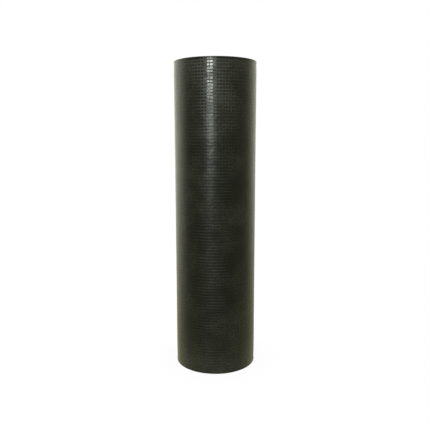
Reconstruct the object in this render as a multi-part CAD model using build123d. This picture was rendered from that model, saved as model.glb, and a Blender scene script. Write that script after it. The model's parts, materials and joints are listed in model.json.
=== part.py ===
from build123d import *
import math
import os

# Roll of damp proof course, in millimetres: a long strip of embossed polyethylene film wound on itself
# without a core, standing on one end. It is one turned solid with an open bore. Its outer wall is the
# strip's last turn, so it grows by one turn's pitch round the roll and drops back by a step where the
# strip ends. +Z is the roll's axis, and the origin is the middle of the end that it stands on.

# Driving dimensions
STRIP_WIDTH = 600.0  # also the roll's height as it stands
STRIP_LENGTH = 30000.0
FILM_THICKNESS = 0.5
AIR_GAP = 0.12  # the embossing holds the turns this far apart
BORE_DIAMETER = 50.0
TAIL_ANGLE = 120.0  # where the strip's outer end lies, in degrees from +X round +Z

# Turns on the end faces
TURNS_PER_GROOVE = 6  # the gaps between turns are hair lines, so one groove stands for this many
GROOVE_WIDTH = 0.6
GROOVE_DEPTH = 0.8
GROOVE_INSET = 2.4  # solid land left beside the bore and beside the outer wall

# Sizes that follow
TURN_PITCH = FILM_THICKNESS + AIR_GAP
BORE_RADIUS = BORE_DIAMETER / 2
OUTER_RADIUS = math.sqrt(BORE_RADIUS**2 + STRIP_LENGTH * TURN_PITCH / math.pi)
TURNS = (OUTER_RADIUS - BORE_RADIUS) / TURN_PITCH
HEAD_ANGLE = (TAIL_ANGLE - 360.0 * TURNS) % 360.0  # where the strip's inner end lies
GROOVE_PITCH = TURNS_PER_GROOVE * TURN_PITCH


def half_turns(start_radius, pitch, count):
    """Half circles of a spiral that starts on +X at start_radius and grows by pitch each turn.

    The upper halves are centred on the axis and the lower ones half a pitch along +X, so that every
    half circle runs smoothly into the next.
    """
    arcs = []
    for i in range(count):
        lower = i % 2
        centre = (lower * pitch / 2, 0)
        arcs.append(CenterArc(centre, start_radius + i * pitch / 2, 180 * lower, 180))
    return arcs


def last_turn_outline():
    """Outline of the wound strip: its last full turn, closed by the step at the strip's outer end."""
    start_radius = OUTER_RADIUS - TURN_PITCH
    turn = half_turns(start_radius, TURN_PITCH, 2)
    step = Line((OUTER_RADIUS, 0), (start_radius, 0))
    return make_face([*turn, step]).rotate(Axis.Z, TAIL_ANGLE)


def bore_outline():
    """The bore with the notch beside the strip's inner end, where the second turn bridges the step."""
    outer_corner = BORE_RADIUS + FILM_THICKNESS
    touch_angle = math.acos(BORE_RADIUS / outer_corner)
    touch = (BORE_RADIUS * math.cos(touch_angle), -BORE_RADIUS * math.sin(touch_angle))
    notch = make_face(Polyline((0, 0), (outer_corner, 0), touch, close=True))
    return Circle(BORE_RADIUS) + notch.rotate(Axis.Z, HEAD_ANGLE)


def turn_groove():
    """Spiral groove that shows the turns on an end face, as deep as the film's edges stand uneven."""
    inner_line = BORE_RADIUS + GROOVE_INSET
    count = math.floor(2 * (OUTER_RADIUS - GROOVE_INSET - inner_line) / GROOVE_PITCH)
    near_side = half_turns(inner_line, GROOVE_PITCH, count)
    far_side = half_turns(inner_line + GROOVE_WIDTH, GROOVE_PITCH, count)
    closing_lines = [
        Line(near_side[0] @ 0, far_side[0] @ 0),
        Line(near_side[-1] @ 1, far_side[-1] @ 1),
    ]
    return make_face([*near_side, *far_side, *closing_lines]).rotate(Axis.Z, HEAD_ANGLE)


def dpc_roll():
    """The whole roll: last turn, bore, and the turns on both ends."""
    roll = extrude(last_turn_outline() - bore_outline(), amount=STRIP_WIDTH)
    groove = extrude(turn_groove(), amount=GROOVE_DEPTH)
    for end in (0, STRIP_WIDTH - GROOVE_DEPTH):
        roll -= Pos(0, 0, end) * groove
    return roll


os.makedirs("parts", exist_ok=True)
export_step(dpc_roll(), "parts/dpc_roll.step")
print("outer radius", round(OUTER_RADIUS, 3), "turns", round(TURNS, 2), "inner end at", round(HEAD_ANGLE, 1))
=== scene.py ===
import json
import math

import bmesh
import bpy
from bpy.props import FloatProperty, FloatVectorProperty, IntProperty, PointerProperty
from mathutils import Euler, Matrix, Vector


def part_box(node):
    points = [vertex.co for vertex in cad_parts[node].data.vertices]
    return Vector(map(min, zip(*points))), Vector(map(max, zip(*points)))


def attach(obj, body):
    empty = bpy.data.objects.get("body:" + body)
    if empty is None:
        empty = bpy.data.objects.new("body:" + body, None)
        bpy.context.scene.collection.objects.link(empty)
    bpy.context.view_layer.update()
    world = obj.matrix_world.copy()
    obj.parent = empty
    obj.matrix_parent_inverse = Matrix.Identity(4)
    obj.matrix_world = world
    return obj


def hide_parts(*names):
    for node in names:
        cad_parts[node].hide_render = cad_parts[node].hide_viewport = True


# A standing roll of damp proof course: one long strip of black embossed polyethylene film, wound on
# itself without a core. Lengths are in metres and angles in radians, as in the frame.

bl_info = {
    "name": "Damp Proof Course Roll",
    "version": (1, 0, 0),
    "blender": (4, 5, 0),
    "location": "View3D > Sidebar > DPC Roll",
    "description": "A standing roll of embossed polyethylene damp proof course",
    "category": "Add Mesh",
}

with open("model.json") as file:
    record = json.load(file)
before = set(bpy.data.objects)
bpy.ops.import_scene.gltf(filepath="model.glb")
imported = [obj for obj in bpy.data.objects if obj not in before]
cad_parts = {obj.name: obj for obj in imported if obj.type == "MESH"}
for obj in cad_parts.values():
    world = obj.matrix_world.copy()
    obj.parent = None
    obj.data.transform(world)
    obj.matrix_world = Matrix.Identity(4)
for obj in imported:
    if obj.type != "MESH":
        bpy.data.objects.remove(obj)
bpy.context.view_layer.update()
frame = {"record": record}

NODE = "dpc_roll"
MM = 0.001
TAU = math.tau

# The strip, as it is sold
STRIP_LENGTH = 30.0
FILM_THICKNESS = 0.5 * MM
AIR_GAP = 0.12 * MM
TAIL_ANGLE = math.radians(120)  # where the strip's outer end lies, at the back of the roll

# How the pieces meet and how finely they are divided
# How far the joints between the pieces lie under a neighbouring turn. In the bore the first turn runs
# on past its joint for the rest of a cell, so it and the next piece share about 3 mm of film there
OVERLAP = math.radians(6)
POINTS_PER_CELL = 3  # both ways: one on a rib's ridge and two at its feet, which the net counts on
OUTER_BACK_ROWS = 8  # cells' worth of points down the last turn's back, which is bent like its face
INNER_BACK_ROWS = 1  # the first turn is straight, so its back needs only a top and a bottom
POINTS_PER_TURN = 126  # round each of the plain turns between
MERGE_DISTANCE = 0.005 * MM
EDGE_STEEPNESS = 0.8  # faces whose normal points up or down by more than this are slit edges
CRISP_ANGLE = math.radians(55)  # edges of the film that turn by more than this are shaded crisp

# The last turn's waist, neck and flared edge, as shares of the strip's width from its nearer edge
WAIST_REACH = 0.3
NECK_REACH = 0.05
FLARE_REACH = 0.007

# The last turn's lifted end and waves. The noise stays below its crest, so the waves only go inwards
TAIL_RISE_ANGLE = 0.3  # the end lifts over this last part of the turn
WAVES_PER_METRE = 24.0
WAVE_CREST = 0.85
COCKLES_PER_METRE = 1 / (9 * MM)
COCKLE_CREST = 0.9
COCKLE_STRETCH = (0.3, 1.0, 1.0)  # drawn out round the roll

# The turns between: tight ones, with the slack in a wider gap after every few of them
TIGHT_GAP = 0.02 * MM
TURNS_PER_GAP = 6.3
SWING = 0.22  # how much sooner or later than evenly a gap comes, as a share of the way to the next
SWING_RATE = 0.41  # radians to a turn
GAP_START = 0.84  # a gap opens over the last part of its turns, from this share on
SWELLS_PER_TURN = 0.23

# The middle of the band up the roll where the net shows palest in the photograph, as metres of film
# from the last turn's start. There the ribs are painted paler, a painted highlight of the light they
# catch on the side facing the camera and the softbox
BAND_MIDDLE = 0.206

# The camera, from the roll's outline in the photograph
CAMERA_DISTANCE = 1.000  # from the roll's axis
CAMERA_HEIGHT = 0.452
CAMERA_PITCH = math.radians(8.525)  # down from level
CAMERA_YAW = math.radians(0.023)
CAMERA_ROLL = math.radians(0.075)
CAMERA_LENS_MM = 41.85
CAMERA_SENSOR_MM = 36.0

# The floor
FLOOR_RADIUS = 0.17
FLOOR_SEGMENTS = 96
FLOOR_WHITE = 0.95  # how much of the floor's tone is the background's white where it is seen
FLOOR_CLEAR = 0.85  # how much of what the film mirrors is the dim studio below, not the floor

# The softbox
SOFTBOX_SIZE = (0.42, 0.36)
SOFTBOX_WATTS = 26.5
SOFTBOX_COLOUR = (0.87, 0.86, 1.0)
SOFTBOX_BEARING = math.radians(13.2)  # how far round to the left of the camera
SOFTBOX_DISTANCE = 2.0  # from the roll's axis
SOFTBOX_HEIGHT = 1.07
SOFTBOX_AIM_HEIGHT = 0.45

FACE_MATERIAL = "Embossed polyethylene film"
EDGE_MATERIAL = "Slit edge of polyethylene film"


def linear(hex_code):
    """An sRGB hex colour as linear red, green and blue."""
    parts = [int(hex_code[i : i + 2], 16) / 255 for i in (1, 3, 5)]
    return [p / 12.92 if p <= 0.04045 else ((p + 0.055) / 1.055) ** 2.4 for p in parts]


def cad_height():
    """The strip's width, which is the height of the CAD roll."""
    low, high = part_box(NODE)
    return high.z - low.z


def cad_bore_radius():
    """The radius of the bore that the record states."""
    mount = next(m for m in frame["record"]["mounts"] if m["kind"] == "bore")
    return mount["dims"]["r_mm"] * MM


class DPC_RollSizes(bpy.types.PropertyGroup):
    """Sizes of the strip and of the roll wound from it"""

    strip_width: FloatProperty(
        name="Strip width", description="Height of the standing roll",
        default=cad_height(), unit="LENGTH", subtype="DISTANCE",
    )
    strip_length: FloatProperty(
        name="Strip length", description="Length of film on the roll",
        default=STRIP_LENGTH, unit="LENGTH", subtype="DISTANCE",
    )
    bore_radius: FloatProperty(
        name="Bore radius", description="Radius of the open bore",
        default=cad_bore_radius(), unit="LENGTH", subtype="DISTANCE",
    )
    film_thickness: FloatProperty(
        name="Film thickness", description="Thickness over the embossed ribs",
        default=FILM_THICKNESS, unit="LENGTH", subtype="DISTANCE",
    )
    air_gap: FloatProperty(
        name="Air gap", description="Mean gap that the embossing leaves between two turns",
        default=AIR_GAP, unit="LENGTH", subtype="DISTANCE",
    )
    tail_angle: FloatProperty(
        name="Tail angle", description="Where the strip's outer end lies, round +Z from +X",
        default=TAIL_ANGLE, unit="ROTATION", subtype="ANGLE",
    )
    tail_lift: FloatProperty(
        name="Tail lift", description="How far the strip's outer end stands off the roll",
        default=0.9 * MM, unit="LENGTH", subtype="DISTANCE",
    )
    waist: FloatProperty(
        name="Waist", description="How much less the radius is at mid height than at the ends",
        default=0.3 * MM, unit="LENGTH", subtype="DISTANCE",
    )
    draw_in: FloatProperty(
        name="Draw-in", description="How far the last turn is drawn in just inside its flared edges",
        default=0.55 * MM, unit="LENGTH", subtype="DISTANCE",
    )
    waviness: FloatProperty(
        name="Waviness", description="Depth of the shallow dents and waves in the last turn",
        default=0.45 * MM, unit="LENGTH", subtype="DISTANCE",
    )
    cockles: FloatProperty(
        name="Cockles", description="Depth of the fine cockles that tilt the embossed cells",
        default=0.14 * MM, unit="LENGTH", subtype="DISTANCE",
    )
    unevenness: FloatProperty(
        name="Unevenness", description="How far the turns stand uneven on the roll's ends",
        default=1.1 * MM, unit="LENGTH", subtype="DISTANCE",
    )
    seed: IntProperty(name="Seed", description="Picks the pattern of waves and uneven turns", default=7)


class DPC_EmbossSizes(bpy.types.PropertyGroup):
    """Sizes of the square net of ribs embossed in the film"""

    cell_width: FloatProperty(
        name="Cell width", description="Distance round the roll from rib to rib",
        default=5.73 * MM, unit="LENGTH", subtype="DISTANCE",
    )
    cell_height: FloatProperty(
        name="Cell height", description="Distance up the roll from rib to rib",
        default=5.77 * MM, unit="LENGTH", subtype="DISTANCE",
    )
    hoop_width: FloatProperty(
        name="Hoop rib width", description="Width at its foot of a rib that runs round the roll",
        default=2.7 * MM, unit="LENGTH", subtype="DISTANCE",
    )
    hoop_height: FloatProperty(
        name="Hoop rib height", description="Height of such a rib over the floor of a cell",
        default=0.05 * MM, unit="LENGTH", subtype="DISTANCE",
    )
    stave_width: FloatProperty(
        name="Stave rib width", description="Width at its foot of a rib that runs up the roll",
        default=1.6 * MM, unit="LENGTH", subtype="DISTANCE",
    )
    stave_height: FloatProperty(
        name="Stave rib height", description="Height of such a rib over the floor of a cell",
        default=0.015 * MM, unit="LENGTH", subtype="DISTANCE",
    )


class DPC_RollColours(bpy.types.PropertyGroup):
    """Colours of the film and of the stage"""

    film: FloatVectorProperty(
        name="Film", description="Black polyethylene with an olive cast",
        subtype="COLOR", min=0, max=1, default=linear("#0C0E08"),
    )
    # Partly rubbing, partly painted highlight: the light that the ribs catch, painted into their colour
    rubbed_and_lit: FloatVectorProperty(
        name="Rubbed", description="The ribs, rubbed paler than the cells between them",
        subtype="COLOR", min=0, max=1, default=linear("#272A23"),
    )
    bloom: FloatVectorProperty(
        name="Bloom", description="The pale dusty bloom on the film",
        subtype="COLOR", min=0, max=1, default=linear("#24261C"),
    )
    slit_edge: FloatVectorProperty(
        name="Slit edge", description="The cut edge of the film on the roll's ends",
        subtype="COLOR", min=0, max=1, default=linear("#2A2B22"),
    )
    floor: FloatVectorProperty(
        name="Floor", description="The studio floor",
        subtype="COLOR", min=0, max=1, default=linear("#DCDCD9"),
    )


def add(tree, kind, inputs=None, **settings):
    """Add a node with its settings, set or link its inputs, and give its first output.

    A number picks an input by place, and a name picks the first one in use that is called that.
    """
    node = tree.nodes.new(kind)
    for name, value in settings.items():
        setattr(node, name, value)
    for key, value in (inputs or {}).items():
        socket = node.inputs[key] if isinstance(key, int) else next(
            s for s in node.inputs if s.name == key and s.enabled
        )
        if isinstance(value, bpy.types.NodeSocket):
            tree.links.new(value, socket)
        else:
            socket.default_value = value
    return next((s for s in node.outputs if s.enabled), None)


def geometry_tree(name, values):
    """A new Geometry Nodes tree with an input for each named value, and its inputs by name."""
    kinds = {int: "NodeSocketInt", float: "NodeSocketFloat", bpy.types.Material: "NodeSocketMaterial"}
    tree = bpy.data.node_groups.new(name, "GeometryNodeTree")
    for label, value in values.items():
        tree.interface.new_socket(label, in_out="INPUT", socket_type=kinds[type(value)])
    tree.interface.new_socket("Geometry", in_out="OUTPUT", socket_type="NodeSocketGeometry")
    return tree, tree.nodes.new("NodeGroupInput").outputs


def finish_tree(tree, shape, given):
    """Close the seam, make the geometry real, and give the slit edges a material of their own."""
    joined = add(tree, "GeometryNodeMergeByDistance", {"Geometry": shape, "Distance": MERGE_DISTANCE})
    real = add(tree, "GeometryNodeRealizeInstances", {"Geometry": joined})
    faces = add(tree, "GeometryNodeSetMaterial", {"Geometry": real, "Material": given["Face Material"]})
    normal = add(tree, "ShaderNodeSeparateXYZ", {0: add(tree, "GeometryNodeInputNormal")}).node.outputs
    steepness = add(tree, "ShaderNodeMath", {0: normal["Z"]}, operation="ABSOLUTE")
    is_edge = add(tree, "ShaderNodeMath", {0: steepness, 1: EDGE_STEEPNESS}, operation="GREATER_THAN")
    edges = add(
        tree, "GeometryNodeSetMaterial",
        {"Geometry": faces, "Selection": is_edge, "Material": given["Edge Material"]},
    )
    add(tree, "NodeGroupOutput", {"Geometry": edges})


def wrap_round(tree, radius, angle, height):
    """The place at that radius, angle and height round the roll's axis."""
    outwards = add(tree, "ShaderNodeCombineXYZ", {"X": radius, "Z": height})
    return add(
        tree, "ShaderNodeVectorRotate", {"Vector": outwards, "Angle": angle}, rotation_type="Z_AXIS"
    )


def bends_of_turn(tree, given, share, travel, place):
    """How far a turn departs from its plain spiral: pairs to multiply and then add up.

    Share is the height as a share of the strip's width, travel the angle from the start of the turn,
    and place the place on the strip. All but the lifted end goes inwards, so the roll keeps the CAD
    outline.
    """
    from_top = add(tree, "ShaderNodeMath", {0: 1.0, 1: share}, operation="SUBTRACT")
    nearest = add(tree, "ShaderNodeMath", {0: share, 1: from_top}, operation="MINIMUM")

    # The roll is a little slimmer in the middle
    waist_depth = add(tree, "ShaderNodeMath", {0: given["Waist"], 1: -1.0}, operation="MULTIPLY")
    waist = add(
        tree, "ShaderNodeMapRange",
        {"Value": nearest, "From Max": WAIST_REACH, "To Max": waist_depth},
        interpolation_type="SMOOTHSTEP",
    )

    # Just inside each edge the film is drawn in to a neck, and the edge itself flares back out
    inside = add(
        tree, "ShaderNodeMapRange",
        {"Value": nearest, "From Max": NECK_REACH, "To Min": 1.0, "To Max": 0.0},
    )
    curved = add(tree, "ShaderNodeMath", {0: inside, 1: 2.0}, operation="POWER")
    flare = add(
        tree, "ShaderNodeMapRange", {"Value": nearest, "From Max": FLARE_REACH},
        interpolation_type="SMOOTHSTEP",
    )
    neck = add(tree, "ShaderNodeMath", {0: curved, 1: flare}, operation="MULTIPLY")
    neck_depth = add(tree, "ShaderNodeMath", {0: given["Draw-in"], 1: -1.0}, operation="MULTIPLY")

    # The strip's outer end stands off the roll
    rise = add(
        tree, "ShaderNodeMapRange", {"Value": travel, "From Min": TAU - TAIL_RISE_ANGLE, "From Max": TAU}
    )
    lifted = add(tree, "ShaderNodeMath", {0: rise, 1: 2.0}, operation="POWER")

    # Shallow waves and dents, and fine cockles that tilt the cells a little up or down
    waves = add(
        tree, "ShaderNodeTexNoise",
        {"Vector": place, "Scale": WAVES_PER_METRE, "Detail": 2.0, "Roughness": 0.45},
    )
    dents = add(tree, "ShaderNodeMath", {0: waves, 1: WAVE_CREST}, operation="SUBTRACT")
    stretched = add(
        tree, "ShaderNodeVectorMath", {0: place, 1: COCKLE_STRETCH}, operation="MULTIPLY"
    )
    cockles = add(
        tree, "ShaderNodeTexNoise",
        {"Vector": stretched, "Scale": COCKLES_PER_METRE, "Detail": 1.0, "Roughness": 0.5},
    )
    puckers = add(tree, "ShaderNodeMath", {0: cockles, 1: COCKLE_CREST}, operation="SUBTRACT")
    return (
        (waist, 1.0), (neck, neck_depth), (lifted, given["Lift"]), (dents, given["Waviness"]),
        (puckers, given["Cockles"]),
    )


def embossed_turn_tree(values):
    """One turn of film with a net of raised ribs on one face.

    A flat grid has three columns and three rows of points to a cell. They are drawn together beside
    the ribs, and every third one is raised as the ridge of a rib. More rows make the plain back, which
    keeps the film's thickness behind the face, and the last one joins it to the first row.
    """
    tree, given = geometry_tree("Embossed turn", values)
    columns, rows, back_rows = given["Columns"], given["Rows"], given["Back Rows"]  # of cells
    all_rows = add(tree, "ShaderNodeMath", {0: rows, 1: back_rows}, operation="ADD")
    grid = add(tree, "GeometryNodeMeshGrid", {
        "Size X": columns,
        "Size Y": all_rows,
        "Vertices X": add(
            tree, "ShaderNodeMath", {0: columns, 1: POINTS_PER_CELL, 2: 1.0}, operation="MULTIPLY_ADD"
        ),
        "Vertices Y": add(
            tree, "ShaderNodeMath", {0: all_rows, 1: POINTS_PER_CELL, 2: 1.0}, operation="MULTIPLY_ADD"
        ),
    })
    flat = add(tree, "ShaderNodeSeparateXYZ", {0: add(tree, "GeometryNodeInputPosition")}).node.outputs
    along = add(tree, "ShaderNodeMath", {0: columns, 1: 0.5, 2: flat["X"]}, operation="MULTIPLY_ADD")
    across = add(tree, "ShaderNodeMath", {0: all_rows, 1: 0.5, 2: flat["Y"]}, operation="MULTIPLY_ADD")

    # The sine is 0, +s and -s at the three points of a cell, and the cosine is 1, -1/2 and -1/2
    s = math.sin(TAU / POINTS_PER_CELL)
    drawn, ridges = [], []
    for cells, rib_share in ((along, given["Stave Share"]), (across, given["Hoop Share"])):
        pull = add(
            tree, "ShaderNodeMath", {0: rib_share, 1: 0.5 / s, 2: -1 / 3 / s}, operation="MULTIPLY_ADD"
        )
        phase = add(tree, "ShaderNodeMath", {0: cells, 1: TAU}, operation="MULTIPLY")
        sine = add(tree, "ShaderNodeMath", {0: phase}, operation="SINE")
        cosine = add(tree, "ShaderNodeMath", {0: phase}, operation="COSINE")
        drawn.append(add(tree, "ShaderNodeMath", {0: sine, 1: pull, 2: cells}, operation="MULTIPLY_ADD"))
        ridges.append(
            add(tree, "ShaderNodeMath", {0: cosine, 1: 2 / 3, 2: 1 / 3}, operation="MULTIPLY_ADD")
        )
    stave = add(tree, "ShaderNodeMath", {0: ridges[0], 1: given["Stave Height"]}, operation="MULTIPLY")
    hoop = add(tree, "ShaderNodeMath", {0: ridges[1], 1: given["Hoop Height"]}, operation="MULTIPLY")
    rib = add(tree, "ShaderNodeMath", {0: stave, 1: hoop}, operation="MAXIMUM")

    # Height up the strip. The rows past the face run down the back, closer together near its ends
    face_share = add(tree, "ShaderNodeMath", {0: drawn[1], 1: rows}, operation="DIVIDE")
    past = add(tree, "ShaderNodeMath", {0: across, 1: rows}, operation="SUBTRACT")
    row_step = 1 / POINTS_PER_CELL
    back_foot = add(tree, "ShaderNodeMath", {0: back_rows, 1: row_step}, operation="SUBTRACT")
    back_share = add(
        tree, "ShaderNodeMapRange",
        {"Value": past, "From Min": row_step, "From Max": back_foot, "To Min": 1.0, "To Max": 0.0},
        interpolation_type="SMOOTHSTEP",
    )
    past_face = add(tree, "ShaderNodeMath", {0: past, 1: row_step / 2}, operation="GREATER_THAN")
    share = add(
        tree, "GeometryNodeSwitch", {"Switch": past_face, "False": face_share, "True": back_share},
        input_type="FLOAT",
    )
    height = add(tree, "ShaderNodeMath", {0: share, 1: given["Width"]}, operation="MULTIPLY")
    back_middle = add(tree, "ShaderNodeMath", {0: back_rows, 1: 0.5}, operation="MULTIPLY")
    back_reach = add(tree, "ShaderNodeMath", {0: back_middle, 1: row_step / 2}, operation="SUBTRACT")
    is_back = add(
        tree, "ShaderNodeMath", {0: past, 1: back_middle, 2: back_reach}, operation="COMPARE"
    )

    # Angle and radius round the roll. The radius grows by one turn's pitch over the second half turn
    travel = add(
        tree, "ShaderNodeMath", {0: drawn[0], 1: given["Cell Angle"], 2: given["Lead In"]},
        operation="MULTIPLY_ADD",
    )
    angle = add(tree, "ShaderNodeMath", {0: travel, 1: given["First Angle"]}, operation="ADD")
    turned = add(tree, "ShaderNodeMath", {0: travel}, operation="COSINE")
    half_pitch = add(tree, "ShaderNodeMath", {0: given["Pitch"], 1: 0.5}, operation="MULTIPLY")
    growth = add(
        tree, "ShaderNodeMath", {0: turned, 1: half_pitch, 2: half_pitch}, operation="MULTIPLY_ADD"
    )
    in_second_half = add(tree, "ShaderNodeMath", {0: travel, 1: math.pi}, operation="GREATER_THAN")
    spiral = add(
        tree, "ShaderNodeMath", {0: growth, 1: in_second_half, 2: given["Radius"]},
        operation="MULTIPLY_ADD",
    )

    # Relief of the face, or the film's thickness at the back
    relief = add(tree, "ShaderNodeMath", {0: rib, 1: given["Hoop Height"]}, operation="SUBTRACT")
    behind = add(tree, "ShaderNodeMath", {0: given["Thickness"], 1: -1.0}, operation="MULTIPLY")
    section = add(
        tree, "GeometryNodeSwitch", {"Switch": is_back, "False": relief, "True": behind},
        input_type="FLOAT",
    )
    radius = add(
        tree, "ShaderNodeMath", {0: section, 1: given["Facing"], 2: spiral}, operation="MULTIPLY_ADD"
    )

    # The place on the strip: how far round, how high, and the seed, which picks the pattern of waves
    place = add(tree, "ShaderNodeCombineXYZ", {
        "X": add(tree, "ShaderNodeMath", {0: travel, 1: given["Radius"]}, operation="MULTIPLY"),
        "Y": height,
        "Z": given["Seed"],
    })
    for amount, depth in bends_of_turn(tree, given, share, travel, place):
        radius = add(
            tree, "ShaderNodeMath", {0: amount, 1: depth, 2: radius}, operation="MULTIPLY_ADD"
        )

    # What the materials read: the place on the strip, and how near the ridge of a rib a point is.
    # The ribs that run up the roll show less than the hoops, and least low down, so they count for less.
    # The materials paint the ribs paler by it, partly as rubbing and partly as a painted highlight of
    # the light that the ribs catch
    stave_rub_and_light = add(
        tree, "ShaderNodeMapRange",
        {"Value": height, "From Min": 0.33, "From Max": 0.53, "To Min": 0.12, "To Max": 0.62},
    )
    rubbed_lit_stave = add(tree, "ShaderNodeMath", {0: ridges[0], 1: stave_rub_and_light}, operation="MULTIPLY")
    rubbed_lit_face = add(tree, "ShaderNodeMath", {0: ridges[1], 1: rubbed_lit_stave}, operation="MAXIMUM")
    rubbed_and_lit = add(
        tree, "GeometryNodeSwitch", {"Switch": is_back, "False": rubbed_lit_face, "True": 0.0},
        input_type="FLOAT",
    )
    with_strip = add(
        tree, "GeometryNodeStoreNamedAttribute",
        {"Geometry": grid, "Name": "strip", "Value": place}, data_type="FLOAT_VECTOR",
    )
    with_rubbed = add(
        tree, "GeometryNodeStoreNamedAttribute",
        {"Geometry": with_strip, "Name": "rubbed_and_lit", "Value": rubbed_and_lit}, data_type="FLOAT",
    )
    shaped = add(tree, "GeometryNodeSetPosition", {
        "Geometry": with_rubbed,
        "Position": wrap_round(tree, radius, angle, height),
    })

    # The hoops have crisp feet: level edges of the face with both ends on the floor of a cell
    floor_depth, level_within = 0.001 * MM, 0.2 * MM
    in_cell = add(tree, "ShaderNodeMath", {0: rib, 1: floor_depth}, operation="LESS_THAN")
    on_face = add(tree, "ShaderNodeMath", {0: across, 1: rows}, operation="LESS_THAN")
    at_foot = add(tree, "ShaderNodeMath", {0: in_cell, 1: on_face}, operation="MULTIPLY")
    both_at_foot = add(tree, "ShaderNodeMath", {0: at_foot, 1: 0.9}, operation="GREATER_THAN")
    ends = tree.nodes.new("GeometryNodeInputMeshEdgeVertices").outputs
    run = add(
        tree, "ShaderNodeVectorMath", {0: ends["Position 2"], 1: ends["Position 1"]},
        operation="SUBTRACT",
    )
    climb = add(tree, "ShaderNodeSeparateXYZ", {0: run}).node.outputs["Z"]
    is_level = add(tree, "ShaderNodeMath", {0: climb, 1: 0.0, 2: level_within}, operation="COMPARE")
    hoop_foot = add(tree, "ShaderNodeMath", {0: both_at_foot, 1: is_level}, operation="MULTIPLY")
    smooth = add(tree, "GeometryNodeSetShadeSmooth", {"Geometry": shaped, "Shade Smooth": True})
    creased = add(
        tree, "GeometryNodeSetShadeSmooth",
        {"Geometry": smooth, "Selection": hoop_foot, "Shade Smooth": False}, domain="EDGE",
    )
    finish_tree(tree, creased, given)
    return tree


def wound_turns_tree(values):
    """The strip wound from one radius to another, as a plain film with its edges at the roll's ends.

    Most turns lie tight, and the slack is in a wider gap after every few of them. The turns also stand
    a little uneven on both ends.
    """
    tree, given = geometry_tree("Wound turns", values)
    grid = add(tree, "GeometryNodeMeshGrid", {
        "Size X": given["Turns"], "Size Y": 4.0, "Vertices X": given["Points"], "Vertices Y": 5,
    })

    # The five rows are the face's bottom and top, the back's top and bottom, and the first row again
    flat = add(tree, "ShaderNodeSeparateXYZ", {0: add(tree, "GeometryNodeInputPosition")}).node.outputs
    turn = add(
        tree, "ShaderNodeMath", {0: given["Turns"], 1: 0.5, 2: flat["X"]}, operation="MULTIPLY_ADD"
    )
    is_top = add(tree, "ShaderNodeMath", {0: flat["Y"], 1: -0.5, 2: 0.6}, operation="COMPARE")
    is_back = add(tree, "ShaderNodeMath", {0: flat["Y"], 1: 0.5, 2: 0.6}, operation="COMPARE")

    # How many gaps lie inside each turn: a stair that climbs over the last part of every tread
    swing_phase = add(tree, "ShaderNodeMath", {0: turn, 1: SWING_RATE}, operation="MULTIPLY")
    swing = add(tree, "ShaderNodeMath", {0: swing_phase}, operation="SINE")
    even = add(tree, "ShaderNodeMath", {0: turn, 1: given["Turns Per Gap"]}, operation="DIVIDE")
    stair = add(tree, "ShaderNodeMath", {0: swing, 1: SWING, 2: even}, operation="MULTIPLY_ADD")
    tread = add(tree, "ShaderNodeMath", {0: stair}, operation="FLOOR")
    part = add(tree, "ShaderNodeMath", {0: stair}, operation="FRACT")
    climb = add(
        tree, "ShaderNodeMapRange", {"Value": part, "From Min": GAP_START},
        interpolation_type="SMOOTHSTEP",
    )
    gaps = add(tree, "ShaderNodeMath", {0: tread, 1: climb}, operation="ADD")
    tight = add(
        tree, "ShaderNodeMath", {0: turn, 1: given["Tight Pitch"], 2: given["Radius"]},
        operation="MULTIPLY_ADD",
    )
    outside = add(
        tree, "ShaderNodeMath", {0: gaps, 1: given["Gap"], 2: tight}, operation="MULTIPLY_ADD"
    )
    behind = add(tree, "ShaderNodeMath", {0: given["Thickness"], 1: -1.0}, operation="MULTIPLY")
    radius = add(
        tree, "ShaderNodeMath", {0: is_back, 1: behind, 2: outside}, operation="MULTIPLY_ADD"
    )

    # Uneven ends: slow swells over many turns, and a little more from turn to turn
    end_seed = add(tree, "ShaderNodeMath", {0: given["Seed"], 1: is_top}, operation="ADD")
    swell = add(tree, "ShaderNodeTexNoise", {
        "Vector": add(tree, "ShaderNodeCombineXYZ", {"X": turn, "Y": end_seed}),
        "Scale": SWELLS_PER_TURN, "Detail": 4.0, "Roughness": 0.6,
    })
    sunk = add(tree, "ShaderNodeMath", {0: swell, 1: given["Unevenness"]}, operation="MULTIPLY")
    below_top = add(tree, "ShaderNodeMath", {0: given["Width"], 1: sunk}, operation="SUBTRACT")
    height = add(
        tree, "GeometryNodeSwitch", {"Switch": is_top, "False": sunk, "True": below_top},
        input_type="FLOAT",
    )
    travel = add(tree, "ShaderNodeMath", {0: turn, 1: TAU}, operation="MULTIPLY")
    angle = add(tree, "ShaderNodeMath", {0: travel, 1: given["First Angle"]}, operation="ADD")

    # What the materials read: the place on the strip, and the turn's number as the third value
    place = add(tree, "ShaderNodeCombineXYZ", {
        "X": add(tree, "ShaderNodeMath", {0: travel, 1: outside}, operation="MULTIPLY"),
        "Y": height,
        "Z": turn,
    })
    with_strip = add(
        tree, "GeometryNodeStoreNamedAttribute",
        {"Geometry": grid, "Name": "strip", "Value": place}, data_type="FLOAT_VECTOR",
    )
    shaped = add(tree, "GeometryNodeSetPosition", {
        "Geometry": with_strip,
        "Position": wrap_round(tree, radius, angle, height),
    })
    smooth = add(tree, "GeometryNodeSetShadeSmooth", {"Geometry": shaped, "Shade Smooth": True})
    finish_tree(tree, smooth, given)
    return tree


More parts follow.
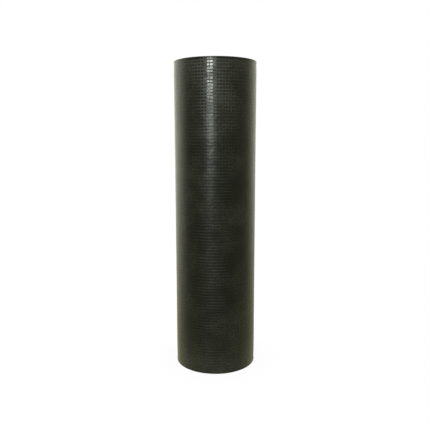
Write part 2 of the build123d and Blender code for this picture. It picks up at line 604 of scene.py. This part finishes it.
def make_piece(name, tree, values):
    """The tree's result as a plain mesh, closed at the strip's ends, riding in place of the CAD roll."""
    piece = bpy.data.objects.new(name, bpy.data.meshes.new(name))
    bpy.context.scene.collection.objects.link(piece)
    modifier = piece.modifiers.new("Shape", "NODES")
    modifier.node_group = tree
    for socket in tree.interface.items_tree:
        if socket.in_out == "INPUT":
            modifier[socket.identifier] = values[socket.name]
    depsgraph = bpy.context.evaluated_depsgraph_get()
    mesh = bpy.data.meshes.new_from_object(
        piece.evaluated_get(depsgraph), preserve_all_data_layers=True, depsgraph=depsgraph
    )
    piece.modifiers.clear()
    piece.data = mesh
    mesh.name = name
    if not mesh.polygons:
        raise RuntimeError(f"{name} came out empty")
    close_film(mesh)
    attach(piece, "root")
    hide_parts(NODE)
    return piece


def close_film(mesh):
    """Fill the two cut ends of the film, turn its faces outwards and keep its edges crisp."""
    shape = bmesh.new()
    shape.from_mesh(mesh)
    open_edges = [e for e in shape.edges if e.is_boundary]
    filled = bmesh.ops.holes_fill(shape, edges=open_edges, sides=0)["faces"]
    for face in filled:
        face.material_index = 1
    bmesh.ops.recalc_face_normals(shape, faces=shape.faces)
    for edge in shape.edges:
        if edge.calc_face_angle(0) > CRISP_ANGLE:
            edge.smooth = False
    shape.to_mesh(mesh)
    shape.free()


def new_material(name):
    """A new material with an empty tree."""
    material = bpy.data.materials.new(name)
    material.use_nodes = True
    material.node_tree.nodes.clear()
    return material, material.node_tree


def film_with_bloom(tree, strip, patches, colours):
    """The film's own colour: black, under a pale bloom that lies in patches, and paler towards the
    bottom.

    That the patches are dust is a guess from how pale the film is there. Its specks are far finer than
    the render can show, and are drawn a few millimetres wide.
    """
    specks = add(
        tree, "ShaderNodeTexNoise",
        {"Vector": strip, "Scale": 1 / (3.5 * MM), "Detail": 3.0, "Roughness": 0.6},
    )
    lying = add(tree, "ShaderNodeMath", {0: patches, 1: specks}, operation="MULTIPLY")
    bloom = add(
        tree, "ShaderNodeMapRange", {"Value": lying, "From Min": 0.24, "From Max": 0.4, "To Max": 0.9}
    )
    height = add(tree, "ShaderNodeSeparateXYZ", {0: strip}).node.outputs["Y"]
    # The film is paler towards the bottom, over the lowest fifth of a metre
    low = add(
        tree, "ShaderNodeMapRange",
        {"Value": height, "From Max": 0.2, "To Min": 0.6, "To Max": 0.0},
        interpolation_type="SMOOTHSTEP",
    )
    paler_low_down = add(tree, "ShaderNodeMath", {0: patches, 1: low}, operation="MULTIPLY")
    bloom_share = add(tree, "ShaderNodeMath", {0: bloom, 1: paler_low_down}, operation="ADD")
    return add(
        tree, "ShaderNodeMix",
        {"Factor": bloom_share, "A": (*colours.film, 1), "B": (*colours.bloom, 1)}, data_type="RGBA",
    )


def rubbing_and_light(tree, strip):
    """How pale and rough the ribs are at each place on the strip: partly rubbing, partly painted light.

    In the photograph the net shows palest in patches, near the top, and in a band up the side that it
    shows. The patches are taken to be rubbing. Near the top and in the band, which faces the camera
    and the softbox, the paler ribs are also a painted highlight of the light that the ribs catch there.
    The far side isn't seen, and its ribs are rubbed somewhat less, as a guess.
    """
    on_strip = add(tree, "ShaderNodeSeparateXYZ", {0: strip}).node.outputs
    patches = add(
        tree, "ShaderNodeTexNoise",
        {"Vector": strip, "Scale": 1 / (30 * MM), "Detail": 3.0, "Roughness": 0.7},
    )
    handled = add(
        tree, "ShaderNodeMapRange",
        {"Value": patches, "From Min": 0.4, "From Max": 0.6, "To Min": 0.45, "To Max": 1.0},
    )
    # Painted highlight: the ribs are painted paler near the roll's top, where the softbox light falls on
    # them
    upper = add(
        tree, "ShaderNodeMapRange",
        {"Value": on_strip["Y"], "From Min": 0.44, "From Max": 0.54, "To Min": 0.48, "To Max": 1.0},
    )
    # Painted highlight: the ribs are painted paler in a band up the side facing the camera and the
    # softbox
    from_band = add(tree, "ShaderNodeMath", {0: on_strip["X"], 1: BAND_MIDDLE}, operation="SUBTRACT")
    aside = add(tree, "ShaderNodeMath", {0: from_band}, operation="ABSOLUTE")
    band = add(
        tree, "ShaderNodeMapRange",
        {"Value": aside, "From Min": 0.018, "From Max": 0.054, "To Min": 1.0, "To Max": 0.2},
    )
    far_side = add(
        tree, "ShaderNodeMapRange",
        {"Value": aside, "From Min": 0.11, "From Max": 0.15, "To Min": 0.0, "To Max": 0.5},
    )
    sides = add(tree, "ShaderNodeMath", {0: band, 1: far_side}, operation="ADD")
    higher = add(tree, "ShaderNodeMath", {0: handled, 1: upper}, operation="MULTIPLY")
    return add(tree, "ShaderNodeMath", {0: higher, 1: sides}, operation="MULTIPLY")


def film_skin(tree, strip):
    """The film's skin as a bump: fine irregular lines round the roll, and soft waves wider than a cell.

    The real lines are finer, and are drawn about as wide as a rib, so that they break up a highlight
    at the size of the render.
    """
    drawn_out = add(
        tree, "ShaderNodeVectorMath", {0: strip, 1: (0.4, 1.0, 1.0)}, operation="MULTIPLY"
    )
    lines = add(
        tree, "ShaderNodeTexNoise",
        {"Vector": drawn_out, "Scale": 1 / (4.0 * MM), "Detail": 2.0, "Roughness": 0.55},
    )
    waves = add(
        tree, "ShaderNodeTexNoise",
        {"Vector": strip, "Scale": 1 / (26 * MM), "Detail": 1.0, "Roughness": 0.5},
    )
    wave_share = 1.4
    skin = add(tree, "ShaderNodeMath", {0: waves, 1: wave_share, 2: lines}, operation="MULTIPLY_ADD")
    return add(tree, "ShaderNodeBump", {"Height": skin, "Distance": 0.26 * MM, "Strength": 1.0})


def film_material(colours):
    """Black polyethylene film, blown or cast and then embossed between rollers.

    The face is semi-matt, and a lamp shows on it as a soft bright streak that the net of ribs breaks
    up. Drawing the film through rollers leaves it a little glossier one way than the other. The tops
    of the ribs are rougher from rubbing, and paler partly from rubbing and partly as a painted
    highlight of the light that they catch. Recycled film has an olive cast, dust lies on it in
    patches, and it is paler towards the bottom.
    """
    material, tree = new_material(FACE_MATERIAL)
    strip = add(tree, "ShaderNodeAttribute", attribute_name="strip").node.outputs["Vector"]
    patches = add(
        tree, "ShaderNodeTexNoise",
        {"Vector": strip, "Scale": 1 / (45 * MM), "Detail": 3.0, "Roughness": 0.55},
    )
    rib = add(tree, "ShaderNodeAttribute", attribute_name="rubbed_and_lit").node.outputs["Fac"]
    ridge = add(tree, "ShaderNodeMapRange", {"Value": rib, "From Max": 0.35})
    rubbed_and_lit = add(tree, "ShaderNodeMath", {0: ridge, 1: rubbing_and_light(tree, strip)}, operation="MULTIPLY")
    # The ribs' paler colour is partly rubbing and partly a painted highlight of the light they catch
    colour = add(tree, "ShaderNodeMix", {
        "Factor": rubbed_and_lit, "A": film_with_bloom(tree, strip, patches, colours), "B": (*colours.rubbed_and_lit, 1),
    }, data_type="RGBA")
    smooth_roughness = add(
        tree, "ShaderNodeMapRange",
        {"Value": patches, "From Min": 0.3, "From Max": 0.7, "To Min": 0.24, "To Max": 0.28},
    )
    worn_roughness = 0.75
    worn = add(tree, "ShaderNodeMath", {0: rubbed_and_lit, 1: 2.0}, operation="POWER")
    roughness = add(
        tree, "ShaderNodeMix", {"Factor": worn, "A": smooth_roughness, "B": worn_roughness},
        data_type="FLOAT",
    )
    shader = add(tree, "ShaderNodeBsdfPrincipled", {
        "Base Color": colour,
        "Roughness": roughness,
        "Normal": film_skin(tree, strip),
        "IOR": 1.54,
        "Anisotropic": 0.45,
        "Anisotropic Rotation": 0.25,
        "Tangent": add(tree, "ShaderNodeTangent", direction_type="RADIAL", axis="Z"),
        "Specular Tint": (0.96, 1.0, 0.8, 1),
        "Sheen Weight": 0.3,
        "Sheen Roughness": 0.45,
        "Sheen Tint": (0.72, 0.7, 0.25, 1),
    })
    add(tree, "ShaderNodeOutputMaterial", {"Surface": shader})
    return material


def slit_edge_material(colours):
    """The same film where a blade has slit it.

    The cut is matt and a little paler than the face, and its tone changes from turn to turn, so the
    turns show on the roll's ends.
    """
    material, tree = new_material(EDGE_MATERIAL)
    strip = add(tree, "ShaderNodeAttribute", attribute_name="strip").node.outputs["Vector"]
    turn = add(tree, "ShaderNodeSeparateXYZ", {0: strip}).node.outputs["Z"]
    tone = add(
        tree, "ShaderNodeTexNoise",
        {"W": turn, "Scale": 0.9, "Detail": 3.0, "Roughness": 0.7}, noise_dimensions="1D",
    )
    paleness = add(tree, "ShaderNodeMapRange", {"Value": tone, "From Min": 0.3, "From Max": 0.7})
    colour = add(
        tree, "ShaderNodeMix",
        {"Factor": paleness, "A": (*colours.film, 1), "B": (*colours.slit_edge, 1)}, data_type="RGBA",
    )
    shader = add(tree, "ShaderNodeBsdfPrincipled", {"Base Color": colour, "Roughness": 0.5, "IOR": 1.5})
    add(tree, "ShaderNodeOutputMaterial", {"Surface": shader})
    return material


def film_materials(colours):
    """The two materials of the film, made once, by the names of the trees' inputs."""
    face = bpy.data.materials.get(FACE_MATERIAL) or film_material(colours)
    edge = bpy.data.materials.get(EDGE_MATERIAL) or slit_edge_material(colours)
    return {"Face Material": face, "Edge Material": edge}


def turn_pitch(sizes):
    """How much the roll's radius grows with each turn."""
    return sizes.film_thickness + sizes.air_gap


def roll_radius(sizes):
    """The roll's outer radius where the strip ends, from the length of film on it."""
    return math.sqrt(sizes.bore_radius**2 + sizes.strip_length * turn_pitch(sizes) / math.pi)


def turn_count(sizes):
    """How many turns the strip makes."""
    return (roll_radius(sizes) - sizes.bore_radius) / turn_pitch(sizes)


def head_angle(sizes):
    """Where the strip's inner end lies: as many turns before its outer end as the roll has."""
    return (sizes.tail_angle - TAU * turn_count(sizes)) % TAU


def turn_values(scene, radius, first_angle, facing, back_rows, bends):
    """Values for one embossed turn whose rib tops start at that radius and angle.

    Facing is 1 for a turn with its net outwards and -1 for one with it inwards. Bends says how far the
    turn departs from a plain spiral, by the names of the tree's inputs.
    """
    sizes, emboss = scene.dpc_sizes, scene.dpc_emboss
    cells_round = round(TAU * radius / emboss.cell_width)
    cell_angle = TAU / cells_round
    lead_in = math.ceil(OVERLAP / cell_angle)
    return {
        "Columns": cells_round + lead_in,
        "Rows": round(sizes.strip_width / emboss.cell_height),
        "Back Rows": back_rows,
        "Cell Angle": cell_angle,
        "Lead In": -lead_in * cell_angle if facing > 0 else 0.0,
        "First Angle": first_angle,
        "Radius": radius,
        "Pitch": turn_pitch(sizes),
        "Width": sizes.strip_width,
        "Thickness": sizes.film_thickness,
        "Hoop Share": emboss.hoop_width / emboss.cell_height,
        "Hoop Height": emboss.hoop_height,
        "Stave Share": emboss.stave_width / emboss.cell_width,
        "Stave Height": emboss.stave_height,
        "Facing": facing,
        "Seed": float(sizes.seed),
        **bends,
        **film_materials(scene.dpc_colours),
    }


class DPC_OT_outer_turn(bpy.types.Operator):
    """Make the strip's last turn, embossed, with its outer end standing a little off the roll"""

    bl_idname = "dpc_roll.outer_turn"
    bl_label = "Outer turn"

    def execute(self, context):
        sizes = context.scene.dpc_sizes
        bends = {
            "Lift": sizes.tail_lift,
            "Waist": sizes.waist,
            "Draw-in": sizes.draw_in,
            "Waviness": sizes.waviness,
            "Cockles": sizes.cockles,
        }
        radius = roll_radius(sizes) - turn_pitch(sizes)
        values = turn_values(
            context.scene, radius, sizes.tail_angle, 1.0, OUTER_BACK_ROWS, bends
        )
        make_piece("outer_turn", embossed_turn_tree(values), values)
        return {"FINISHED"}


class DPC_OT_wound_turns(bpy.types.Operator):
    """Make all the turns between the first and the last"""

    bl_idname = "dpc_roll.wound_turns"
    bl_label = "Wound turns"

    def execute(self, context):
        sizes = context.scene.dpc_sizes
        pitch = turn_pitch(sizes)
        turns = turn_count(sizes) - 2 - 2 * OVERLAP / TAU
        first_radius = sizes.bore_radius + pitch + sizes.film_thickness
        last_radius = roll_radius(sizes) - 2 * pitch - sizes.draw_in - sizes.waviness
        tight_pitch = sizes.film_thickness + TIGHT_GAP
        slack = last_radius - first_radius - turns * tight_pitch
        values = {
            "Turns": turns,
            "Points": round(turns * POINTS_PER_TURN),
            "First Angle": head_angle(sizes) + OVERLAP,
            "Radius": first_radius,
            "Tight Pitch": tight_pitch,
            "Turns Per Gap": TURNS_PER_GAP,
            "Gap": slack / (turns / TURNS_PER_GAP),
            "Thickness": sizes.film_thickness,
            "Width": sizes.strip_width,
            "Unevenness": sizes.unevenness,
            "Seed": float(sizes.seed),
            **film_materials(context.scene.dpc_colours),
        }
        make_piece("wound_turns", wound_turns_tree(values), values)
        return {"FINISHED"}


class DPC_OT_inner_turn(bpy.types.Operator):
    """Make the strip's first turn, which lines the bore, with its embossed face inwards"""

    bl_idname = "dpc_roll.inner_turn"
    bl_label = "Inner turn"

    def execute(self, context):
        sizes = context.scene.dpc_sizes
        straight = {"Lift": 0.0, "Waist": 0.0, "Draw-in": 0.0, "Waviness": 0.0, "Cockles": 0.0}
        values = turn_values(
            context.scene, sizes.bore_radius, head_angle(sizes), -1.0, INNER_BACK_ROWS, straight
        )
        make_piece("inner_turn", embossed_turn_tree(values), values)
        return {"FINISHED"}


class DPC_OT_stage(bpy.types.Operator):
    """Make the camera, the pale floor and the studio light"""

    bl_idname = "dpc_roll.stage"
    bl_label = "Stage"

    def execute(self, context):
        make_camera(context.scene)
        make_floor(context.scene)
        make_studio(context.scene)
        make_softbox(context.scene)
        context.scene.view_settings.view_transform = "Standard"
        return {"FINISHED"}


def make_camera(scene):
    """The photograph's camera: a little below the roll's top, looking slightly down."""
    data = bpy.data.cameras.new("Camera")
    data.lens = CAMERA_LENS_MM
    data.sensor_width = CAMERA_SENSOR_MM
    camera = bpy.data.objects.new("Camera", data)
    camera.location = (0, -CAMERA_DISTANCE, CAMERA_HEIGHT)
    camera.rotation_euler = Euler((math.pi / 2 - CAMERA_PITCH, CAMERA_ROLL, CAMERA_YAW))
    scene.collection.objects.link(camera)
    scene.camera = camera


def sees_white(tree):
    """1 for rays that see the plain white background: from the camera, or through something clear."""
    path = add(tree, "ShaderNodeLightPath").node.outputs
    return add(
        tree, "ShaderNodeMath", {0: path["Is Camera Ray"], 1: path["Is Transmission Ray"]},
        operation="MAXIMUM",
    )


def make_floor(scene):
    """A round floor of pale matt paint, which fades out to the white backdrop round the roll's foot.

    The camera sees it almost as plain white, so only a trace of the roll's shadow shows. Most of what
    the film mirrors passes through it to the studio below the horizon, which is dim, so that the roll's
    foot stays dark.
    """
    material, tree = new_material("Painted studio floor")
    place = add(tree, "ShaderNodeTexCoord").node.outputs["Object"]
    distance = add(tree, "ShaderNodeVectorMath", {0: place}, operation="LENGTH")
    paint = add(tree, "ShaderNodeBsdfDiffuse", {"Color": (*scene.dpc_colours.floor, 1)})
    white = add(tree, "ShaderNodeEmission", {"Color": (1, 1, 1, 1), "Strength": 1.0})
    whitened = add(tree, "ShaderNodeMath", {0: sees_white(tree), 1: FLOOR_WHITE}, operation="MULTIPLY")
    pale = add(tree, "ShaderNodeMixShader", {0: whitened, 1: paint, 2: white})
    fade = add(
        tree, "ShaderNodeMapRange", {"Value": distance, "From Min": 0.085, "From Max": 0.165},
        interpolation_type="SMOOTHSTEP",
    )
    path = add(tree, "ShaderNodeLightPath").node.outputs
    mirrored = add(
        tree, "ShaderNodeMath", {0: path["Is Glossy Ray"], 1: FLOOR_CLEAR}, operation="MULTIPLY"
    )
    passed = add(tree, "ShaderNodeMath", {0: fade, 1: mirrored}, operation="MAXIMUM")
    clear = add(tree, "ShaderNodeBsdfTransparent")
    surface = add(tree, "ShaderNodeMixShader", {0: passed, 1: pale, 2: clear})
    add(tree, "ShaderNodeOutputMaterial", {"Surface": surface})
    shape = bmesh.new()
    bmesh.ops.create_circle(shape, cap_ends=True, segments=FLOOR_SEGMENTS, radius=FLOOR_RADIUS)
    mesh = bpy.data.meshes.new("floor")
    shape.to_mesh(mesh)
    shape.free()
    mesh.materials.append(material)
    floor = bpy.data.objects.new("floor", mesh)
    scene.collection.objects.link(floor)


def make_studio(scene):
    """The studio round the roll. The camera sees it as plain white, and the film mirrors it as it is.

    A white backdrop stands behind the roll and beside it, a little brighter at the left and dimmer
    below the horizon. In front the room is open and dark, with a bank of light high above the camera.
    """
    world = bpy.data.worlds.new("Studio")
    world.use_nodes = True
    tree = world.node_tree
    tree.nodes.clear()
    towards = add(tree, "ShaderNodeTexCoord").node.outputs["Generated"]
    heading = add(tree, "ShaderNodeSeparateXYZ", {0: towards}).node.outputs
    backwards = add(
        tree, "ShaderNodeVectorMath", {0: towards, 1: (-0.12, 1.0, 0.0)}, operation="DOT_PRODUCT"
    ).node.outputs["Value"]
    is_behind = add(
        tree, "ShaderNodeMapRange", {"Value": backwards, "From Min": -0.15, "From Max": 0.68},
        interpolation_type="SMOOTHSTEP",
    )
    by_height = add(
        tree, "ShaderNodeMapRange",
        {"Value": heading["Z"], "From Min": -0.47, "From Max": 0.1, "To Min": 0.2, "To Max": 1.15},
        interpolation_type="SMOOTHSTEP",
    )
    by_side = add(
        tree, "ShaderNodeMapRange",
        {"Value": heading["X"], "From Min": -1.0, "From Max": 1.0, "To Min": 1.12, "To Max": 0.7},
    )
    backdrop = add(tree, "ShaderNodeMath", {0: by_height, 1: by_side}, operation="MULTIPLY")
    bank_foot = add(
        tree, "ShaderNodeMapRange", {"Value": heading["Z"], "From Min": 0.25, "From Max": 0.45},
        interpolation_type="SMOOTHSTEP",
    )
    bank_top = add(
        tree, "ShaderNodeMapRange",
        {"Value": heading["Z"], "From Min": 0.6, "From Max": 0.9, "To Min": 1.0, "To Max": 0.0},
        interpolation_type="SMOOTHSTEP",
    )
    bank = add(tree, "ShaderNodeMath", {0: bank_foot, 1: bank_top}, operation="MULTIPLY")
    bank_strength, open_side = 2.2, 0.13
    front = add(
        tree, "ShaderNodeMath", {0: bank, 1: bank_strength, 2: open_side}, operation="MULTIPLY_ADD"
    )
    room = add(
        tree, "ShaderNodeMix", {"Factor": is_behind, "A": front, "B": backdrop}, data_type="FLOAT"
    )
    strength = add(
        tree, "ShaderNodeMix", {"Factor": sees_white(tree), "A": room, "B": 1.0}, data_type="FLOAT"
    )
    light = add(tree, "ShaderNodeBackground", {"Color": (1, 1, 1, 1), "Strength": strength})
    add(tree, "ShaderNodeOutputWorld", {"Surface": light})
    scene.world = world


def make_softbox(scene):
    """One softbox in front, to the left of the camera and above it."""
    data = bpy.data.lights.new("Softbox", "AREA")
    data.shape = "RECTANGLE"
    data.size, data.size_y = SOFTBOX_SIZE
    data.energy = SOFTBOX_WATTS
    data.color = SOFTBOX_COLOUR
    softbox = bpy.data.objects.new("Softbox", data)
    softbox.location = (
        -SOFTBOX_DISTANCE * math.sin(SOFTBOX_BEARING),
        -SOFTBOX_DISTANCE * math.cos(SOFTBOX_BEARING),
        SOFTBOX_HEIGHT,
    )
    aim = Vector((0, 0, SOFTBOX_AIM_HEIGHT)) - softbox.location
    softbox.rotation_euler = aim.to_track_quat("-Z", "Y").to_euler()
    softbox.visible_camera = False
    scene.collection.objects.link(softbox)


class DPC_PT_panel(bpy.types.Panel):
    """Lists the roll's sizes, colours and pieces"""

    bl_idname = "DPC_PT_panel"
    bl_label = "Damp Proof Course Roll"
    bl_space_type = "VIEW_3D"
    bl_region_type = "UI"
    bl_category = "DPC Roll"

    def draw(self, context):
        for group in (context.scene.dpc_sizes, context.scene.dpc_emboss, context.scene.dpc_colours):
            box = self.layout.box()
            for name in group.__annotations__:
                box.prop(group, name)
        for operator in OPERATORS:
            self.layout.operator(operator.bl_idname)


OPERATORS = (DPC_OT_stage, DPC_OT_outer_turn, DPC_OT_wound_turns, DPC_OT_inner_turn)
CLASSES = (DPC_RollSizes, DPC_EmbossSizes, DPC_RollColours, *OPERATORS, DPC_PT_panel)


def register():
    for cls in CLASSES:
        bpy.utils.register_class(cls)
    bpy.types.Scene.dpc_sizes = PointerProperty(type=DPC_RollSizes)
    bpy.types.Scene.dpc_emboss = PointerProperty(type=DPC_EmbossSizes)
    bpy.types.Scene.dpc_colours = PointerProperty(type=DPC_RollColours)


def unregister():
    del bpy.types.Scene.dpc_colours
    del bpy.types.Scene.dpc_emboss
    del bpy.types.Scene.dpc_sizes
    for cls in reversed(CLASSES):
        bpy.utils.unregister_class(cls)


def main():
    register()
    bpy.ops.dpc_roll.stage()
    bpy.ops.dpc_roll.outer_turn()
    bpy.ops.dpc_roll.wound_turns()
    bpy.ops.dpc_roll.inner_turn()


if __name__ == "__main__":
    main()
